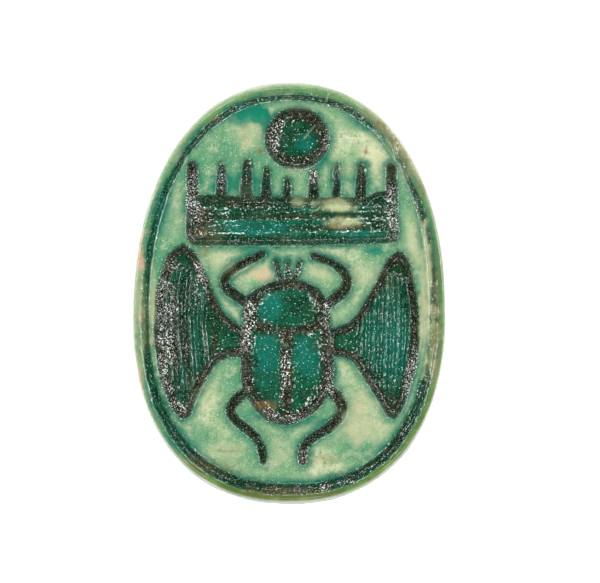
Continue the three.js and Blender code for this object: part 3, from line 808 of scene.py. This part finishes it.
# Where the cuts glitter: steeper crystal bump there, and more white flecks of painted highlight.
GLITTER = [
    (-0.09, 0.78, 0.4, 0.8, 1.0), (0.25, 0.77, 0.3, 0.6, 1.0), (-0.63, 0.47, 0.35, 1.4, 1.0),
    (-0.45, 0.55, 0.25, 0.45, 0.8), (0.16, 0.56, 0.3, 0.4, 1.0), (0.3, 0.57, 0.2, 0.4, 0.6),
    (0.66, 0.38, 0.4, 1.5, 1.0), (-0.8, -0.2, 0.45, 3.4, 1.0), (-0.57, 0.04, 0.4, 1.2, 0.9),
    (-0.7, -0.55, 0.4, 0.5, 0.8), (0.8, -0.4, 0.35, 1.5, 1.0), (0.65, -0.12, 0.5, 2.2, 0.8),
    (-0.27, -0.14, 0.35, 1.1, 0.9), (-0.02, -0.36, 0.25, 1.1, 0.7), (0.28, -0.42, 0.35, 0.9, 0.9),
    (0.0, -0.6, 1.3, 0.3, 0.5), (0.25, -0.1, 0.3, 0.7, 0.7), (0.02, 0.1, 0.5, 0.4, 0.6),
    (0.1, -0.78, 0.3, 0.4, 0.6), (0.3, -0.95, 2.2, 0.4, 0.6),
]
SALMON = [(-0.165, 0.083, 0.55, 0.3, 0.2), (-0.27, 0.76, 0.4, 0.5, 0.07)]
PINK = [(-0.99, 0.21, 0.3, 1.1, 1.0), (-0.99, -0.4, 0.3, 1.2, 0.9), (-0.96, -0.13, 0.1, 0.2, 0.6)]


def patches(x, y, places):
    """Amount of the strongest of some oval patches at a place: a patch is full in its middle and
    fades by an S curve at its edge, which noise makes ragged."""
    flat = np.zeros(x.shape)
    ragged = 0.9 * (lumps(x, y, flat, 0.45, 31) - 0.5) + 0.5 * (lumps(x, y, flat, 0.16, 32) - 0.5)
    total = flat
    for across, along, half_x, half_y, amount in places:
        (middle_x, middle_y), = on_face([(across, along)])
        away = np.hypot((x - middle_x) / half_x, (y - middle_y) / half_y)
        total = np.maximum(total, amount * (1 - smoothstep(away + ragged, 0.3, 1.3)))
    return total


# Levels above the worn spot: where the face's skin starts, the pink edge, the side's widest
# line and the hollow behind the legs.
TOP_LEVEL, EDGE_LEVEL, WIDEST_LEVEL, HOLLOW_LEVEL = 7.15, 7.25, 7.02, 5.5
ON_RIM = 0.955


def glaze_marks(x, y, z):
    """What the glaze does at each point of the skin, by name."""
    share = oval_share(x, y)
    turn = oval_turn(x, y)
    on_top = (z > TOP_LEVEL) & (share < 1.0002)
    _, inside, dark = carving(x, y)
    rim = np.maximum(inside_outline(x, y, OVAL_EDGE), 0)
    worn = np.exp(-((turn - WORN_TURN) / 0.25) ** 2) * (1 - smoothstep(rim, 0.25, 0.45))
    outside_border = 1 - smoothstep(rim, BORDER_INSET - 0.2, BORDER_INSET)
    # On the back the glaze is dark in the lines and in the hollow behind the legs.
    seams = [path_distance(x, y, path)[0] for path in (WING_SEAM, SHIELD_SEAM[::2])]
    line = BACK_LINE_WIDTH / 2 - np.minimum(*seams) - np.where(z < DOME_HEIGHT, 0, OUTSIDE)
    hollow = (0.93 - share) * 4 - np.abs(z - HOLLOW_LEVEL) * 0.3
    behind = np.maximum(line, np.where(z > DOME_HEIGHT + 0.2, hollow, -OUTSIDE))
    # A line of painted shade follows the widest part of the side, strongest at the lower right,
    # drawn as dark pooled glaze.
    lower_right = 0.3 + 0.7 * np.exp(-((turn + 1.0) / 0.5) ** 2)
    behind = np.maximum(behind, 0.22 * lower_right - np.abs(z - WIDEST_LEVEL) - 0.02)
    side = smoothstep(z, 6.2, 6.5) * (~on_top)
    by_edge = 0.5 * np.exp(-((z - EDGE_LEVEL) / 0.35) ** 2)
    blush = smoothstep(lumps(x, y, z, 0.4, 33) + by_edge, 0.38, 0.9)
    turquoise = patches(x, y, TURQUOISE)
    # Scratches go into the cream mark as pale lines of painted highlight.
    scratch = np.max([inside_stroke(x, y, path, SCRATCH_WIDTH) for path in SCRATCHES], axis=0)
    cream = np.maximum(patches(x, y, CREAM), 0.7 * smoothstep(scratch, -0.03, 0.02))
    dark = dark * (1 - 0.7 * np.minimum(turquoise, 1) * smoothstep(inside, 0.2, 0.4))
    shaded = patches(x, y, DARK) * (1 - 0.6 * np.minimum(turquoise, 1))
    clear_left = 1 - 0.75 * smoothstep(-np.cos(turn), 0.5, 0.9)
    olive = outside_border * (1 - worn) * (0.75 - 0.25 * np.sin(turn)) * clear_left
    return {
        "inside": np.clip(np.where(on_top, inside, behind), -0.6, 0.6),
        "dark": np.where(on_top, np.maximum(dark, shaded), 0.7),
        "turquoise": np.where(on_top, turquoise, 0.15),
        "cream": np.where(on_top, np.maximum(cream, 0.5 * worn), 0.2 * side),
        "brown": np.where(on_top, np.maximum(patches(x, y, BROWN), 0.75 * worn), 0),
        "glitter": patches(x, y, GLITTER) * on_top,
        "pink": np.where(share > ON_RIM, patches(x, y, PINK) * blush,
                         patches(x, y, SALMON) * on_top),
        "olive": np.where(on_top, olive, 0.6 * side),
    }


skin = np.empty(len(shape.vertices) * 3, np.float32)
shape.vertices.foreach_get("co", skin)
x, y, z = skin.reshape(-1, 3).T / MM
for name, values in glaze_marks(x, y, z).items():
    layer = shape.attributes.new(name, "FLOAT", "POINT")
    layer.data.foreach_set("value", values.astype(np.float32))


# The glaze
# The glaze is glass melted over the stone, so it is one glossy material. Its colours are mixed from
# the marks and from noise, and the crystals in the cuts are fine bump that breaks the gloss into
# sparkles. White specks painted into the colour add more sparkle as painted highlights.

# Noise scales are in cells to the metre: 1000 gives patches of about a millimetre.
CLOUD_SCALE, MOTTLE_SCALE, GRAIN_SCALE, GRIT_SCALE, SALT_SCALE = 420, 1500, 5200, 11000, 15000
CRYSTAL_SCALE = 12500.0
GRAIN_HEIGHT = 0.000006
GLAZE_IOR = 1.58
COAT, COAT_ROUGHNESS = 0.25, 0.08
glaze = bpy.data.materials.new("copper_green_glaze")
glaze.use_nodes = True
tree = glaze.node_tree
shader = tree.nodes["Principled BSDF"]


def linear(red, green, blue):
    """Colour for a shader from screen values of 0 to 255, by the screen's standard curve."""
    value = np.array([red, green, blue]) / 255
    return (*np.where(value <= 0.04045, value / 12.92, ((value + 0.055) / 1.055) ** 2.4), 1)


def add(kind, sockets, output, **settings):
    """One output of a new node whose sockets are given values or other nodes' outputs."""
    made = tree.nodes.new(kind)
    for name, value in settings.items():
        setattr(made, name, value)
    for name, value in sockets.items():
        if isinstance(value, bpy.types.NodeSocket):
            tree.links.new(value, made.inputs[name])
        else:
            made.inputs[name].default_value = value
    return made.outputs[output]


def mark(name):
    return add("ShaderNodeAttribute", {}, "Fac", attribute_name=name)


def noise(scale, detail=3, roughness=0.5):
    return add("ShaderNodeTexNoise", {"Vector": place, "Scale": scale, "Detail": detail,
                                      "Roughness": roughness}, "Fac")


def between(value, start, end, low=0.0, high=1.0):
    """A value eased from low at start to high at end."""
    return add("ShaderNodeMapRange", {"Value": value, "From Min": start, "From Max": end,
                                      "To Min": low, "To Max": high}, "Result",
               interpolation_type="SMOOTHSTEP")


def maths(operation, a, b, clamp=False):
    return add("ShaderNodeMath", {0: a, 1: b}, 0, operation=operation, use_clamp=clamp)


def blend(amount, under, over):
    """A colour under, changed to the colour over it by an amount from 0 to 1."""
    return add("ShaderNodeMix", {0: amount, 6: under, 7: over}, 2, data_type="RGBA")


place = add("ShaderNodeTexCoord", {}, "Object")
inside, dark = mark("inside"), mark("dark")
turquoise, cream, brown = mark("turquoise"), mark("cream"), mark("brown")
glitter = mark("glitter")
cloud = noise(CLOUD_SCALE, 4, 0.55)
mottle = noise(MOTTLE_SCALE, 4, 0.6)
grain = noise(GRAIN_SCALE, 3, 0.6)
grit = noise(GRIT_SCALE, 2, 0.6)
salt = noise(SALT_SCALE, 1)

# How far inside a cut the glaze is, with an edge made ragged by noise.
ragged = maths("ADD", inside, between(mottle, 0.3, 0.7, -0.06, 0.06))
ragged = maths("ADD", ragged, between(grit, 0.3, 0.7, -0.03, 0.03))
in_cut = between(ragged, -0.12, 0.08)
near_cut = maths("MULTIPLY", between(ragged, -0.42, 0.02),
                 maths("ADD", between(cloud, 0.4, 0.6, 0.32, 1.0), turquoise, clamp=True))

# The ground between the cuts is thin, clouded glaze. Each tone lies over the ones before it: the
# noise it follows, where it starts and is full, its amount there and its screen colour. The pale
# salt tone is painted highlight: tiny glints drawn into the ground's colour.
pale = maths("ADD", maths("MULTIPLY", cloud, 0.6), maths("MULTIPLY", mottle, 0.4))
GROUND_TONES = [
    (pale, 0.4, 0.56, 1.0, (152, 179, 134)), (pale, 0.51, 0.63, 1.0, (208, 210, 172)),
    (mottle, 0.5, 0.68, 0.6, (96, 152, 116)), (mottle, 0.48, 0.34, 0.5, (196, 198, 160)),
    (grain, 0.5, 0.68, 0.5, (84, 138, 100)), (salt, 0.6, 0.72, 0.5, (224, 226, 200)),
    (salt, 0.4, 0.28, 0.45, (84, 124, 84)),
]
ground = linear(84, 146, 106)
for texture, start, full, amount, tone in GROUND_TONES:
    ground = blend(between(texture, start, full, 0.0, amount), ground, linear(*tone))
olive = mark("olive")
olive_glaze = blend(between(mottle, 0.4, 0.65), linear(80, 104, 20), linear(120, 144, 54))
ground = blend(olive, ground, olive_glaze)
blotched = maths("MULTIPLY", turquoise, between(mottle, 0.3, 0.6, 0.5, 1.0), clamp=True)
ground = blend(blotched, ground, linear(8, 122, 96))
thin = maths("MULTIPLY", cream, between(mottle, 0.3, 0.6, 0.5, 0.9))
ground = blend(thin, ground, linear(192, 190, 150))
near_cut = maths("MULTIPLY", near_cut, between(olive, 0.6, 1.0, 1.0, 0.25))
ground = blend(near_cut, ground, linear(26, 110, 86))

# On the cuts' floors the glaze is teal, and brown-black where it pooled.
teal = blend(between(mottle, 0.35, 0.65), linear(3, 50, 28), linear(12, 98, 66))
teal = blend(turquoise, teal, linear(10, 104, 88))
teal = blend(between(salt, 0.58, 0.68, 0.0, 0.6), teal, linear(30, 150, 118))
worn_through = maths("MULTIPLY", cream, between(mottle, 0.3, 0.6, 0.5, 1.0))
teal = blend(worn_through, teal, linear(172, 182, 134))
shade = maths("ADD", dark, between(mottle, 0.3, 0.7, -0.3, 0.3), clamp=True)
shade = maths("MULTIPLY", shade, between(cream, 0.2, 0.8, 1.0, 0.1))
pooled = blend(between(dark, 0.6, 0.95), linear(12, 44, 22), linear(32, 31, 18))
dusty = maths("MULTIPLY", between(grain, 0.42, 0.68, 0.0, 0.6), between(dark, 0.5, 0.9, 0.3, 1.0))
pooled = blend(dusty, pooled, linear(78, 84, 56))
core = between(ragged, -0.04, 0.22)
deep = maths("MULTIPLY", shade, between(core, 0.0, 1.0, 0.35, 1.0))
floor_colour = blend(deep, teal, pooled)
# White flecks of painted highlight, glints drawn into the colour: thick where the crystals glitter
# and sparse elsewhere.
painted_glint_amount = maths("MULTIPLY", between(shade, 0.45, 0.9, 0.04, 0.75),
                     between(glitter, 0.0, 0.9, 0.2, 2.0))
salted = maths("ADD", salt, maths("MULTIPLY", glitter, 0.05))
painted_glints = maths("MULTIPLY", between(salted, 0.61, 0.67), painted_glint_amount, clamp=True)
floor_colour = blend(painted_glints, floor_colour, linear(250, 252, 246))
# Sparse bright specks on every floor are painted highlight too.
floor_colour = blend(between(salt, 0.69, 0.74, 0.0, 0.9), floor_colour, linear(240, 248, 240))

colour = blend(in_cut, ground, floor_colour)
dirty = maths("MULTIPLY", brown, between(grain, 0.35, 0.6, 0.4, 0.95))
colour = blend(dirty, colour, linear(122, 98, 56))
colour = blend(mark("pink"), colour, linear(236, 150, 138))
tree.links.new(colour, shader.inputs["Base Color"])

rough = maths("ADD", between(core, 0.0, 0.6, 0.24, 0.12), maths("MULTIPLY", cream, 0.1))
tree.links.new(rough, shader.inputs["Roughness"])
# Each crystal is a small flat facet that leans its own way.
tint = add("ShaderNodeTexVoronoi", {"Vector": place, "Scale": CRYSTAL_SCALE}, "Color")
lean = add("ShaderNodeVectorMath", {0: tint, 1: (0.5, 0.5, 0.5)}, "Vector", operation="SUBTRACT")
away = add("ShaderNodeVectorMath", {0: place, 1: tint.node.outputs["Position"]}, "Vector",
           operation="SUBTRACT")
facet = add("ShaderNodeVectorMath", {0: lean, 1: away}, "Value", operation="DOT_PRODUCT")
steep = maths("MULTIPLY", between(shade, 0.35, 0.9, 0.2, 1.0),
              between(glitter, 0.0, 0.9, 0.42, 1.2))
steep = maths("MULTIPLY", between(in_cut, 0.3, 1.0, 0.08, 1.0), steep)
relief = maths("ADD", maths("MULTIPLY", facet, steep), maths("MULTIPLY", grain, GRAIN_HEIGHT))
bump = add("ShaderNodeBump", {"Height": relief, "Strength": 1.0, "Distance": 1.0}, "Normal")
tree.links.new(bump, shader.inputs["Normal"])
tree.links.new(bump, shader.inputs["Coat Normal"])
shader.inputs["IOR"].default_value = GLAZE_IOR
shader.inputs["Coat Weight"].default_value = COAT
shader.inputs["Coat Roughness"].default_value = COAT_ROUGHNESS
shape.materials.clear()
shape.materials.append(glaze)
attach(amulet, "root")
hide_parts("scarab_amulet")

# The floor
# Plain white card, which shines a little so that the ground round the amulet stays white.
CARD_SIZE = 0.8
bpy.ops.mesh.primitive_plane_add(size=CARD_SIZE)
card = bpy.context.object
card.name = "white_card"
paper = bpy.data.materials.new("white_card")
paper.use_nodes = True
paper_shader = paper.node_tree.nodes["Principled BSDF"]
paper_shader.inputs["Base Color"].default_value = (0.9, 0.9, 0.9, 1)
paper_shader.inputs["Roughness"].default_value = 0.8
paper_shader.inputs["Specular IOR Level"].default_value = 0.2
paper_shader.inputs["Emission Color"].default_value = (1, 1, 1, 1)
paper_shader.inputs["Emission Strength"].default_value = 0.35
card.data.materials.append(paper)

# The light
# A white tent that is bright round the sides and dark overhead, two low lamps, six broad ones
# that look down at a slant, and four small ones that make the glaze sparkle. Each lamp has its
# turn round the amulet and its height in degrees, its size in metres and its power in watts.
LAMP_DISTANCE = 0.4
LAMPS = [
    ("low_left", 165, 15, 0.08, 0.3), ("low_right", 12, 15, 0.08, 0.3),
    ("lamp_left", 170, 42, 0.08, 0.38), ("lamp_upper_left", 125, 48, 0.07, 0.36),
    ("lamp_upper_right", 55, 46, 0.07, 0.36), ("lamp_right", 8, 40, 0.08, 0.38),
    ("lamp_lower_right", 315, 48, 0.07, 0.26), ("lamp_lower_left", 232, 46, 0.07, 0.26),
    ("spark_head", 95, 40, 0.05, 0.19), ("spark_tail", 275, 42, 0.05, 0.16),
    ("spark_left", 150, 56, 0.05, 0.15), ("spark_right", 30, 58, 0.05, 0.15),
]
for name, azimuth, elevation, size, watts in LAMPS:
    lamp_data = bpy.data.lights.new(name, "AREA")
    lamp_data.size = size
    lamp_data.energy = watts
    lamp = bpy.data.objects.new(name, lamp_data)
    around, up = math.radians(azimuth), math.radians(elevation)
    lamp.location = (LAMP_DISTANCE * math.cos(up) * math.cos(around),
                     LAMP_DISTANCE * math.cos(up) * math.sin(around), LAMP_DISTANCE * math.sin(up))
    lamp.rotation_euler = (math.pi / 2 - up, 0, around + math.pi / 2)
    lamp.visible_camera = False
    bpy.context.collection.objects.link(lamp)

TENT_TOP, DARK_OVERHEAD = 0.42, 0.03
world = bpy.data.worlds.new("white_tent")
world.use_nodes = True
tree = world.node_tree
heading = add("ShaderNodeTexCoord", {}, "Generated")
upward = add("ShaderNodeSeparateXYZ", {"Vector": heading}, "Z")
tent = between(upward, 0.0, TENT_TOP, 1.0, DARK_OVERHEAD)
tree.links.new(tent, tree.nodes["Background"].inputs["Strength"])
tree.nodes["Background"].inputs["Color"].default_value = (1, 1, 1, 1)
bpy.context.scene.world = world
bpy.context.scene.view_settings.view_transform = "Standard"
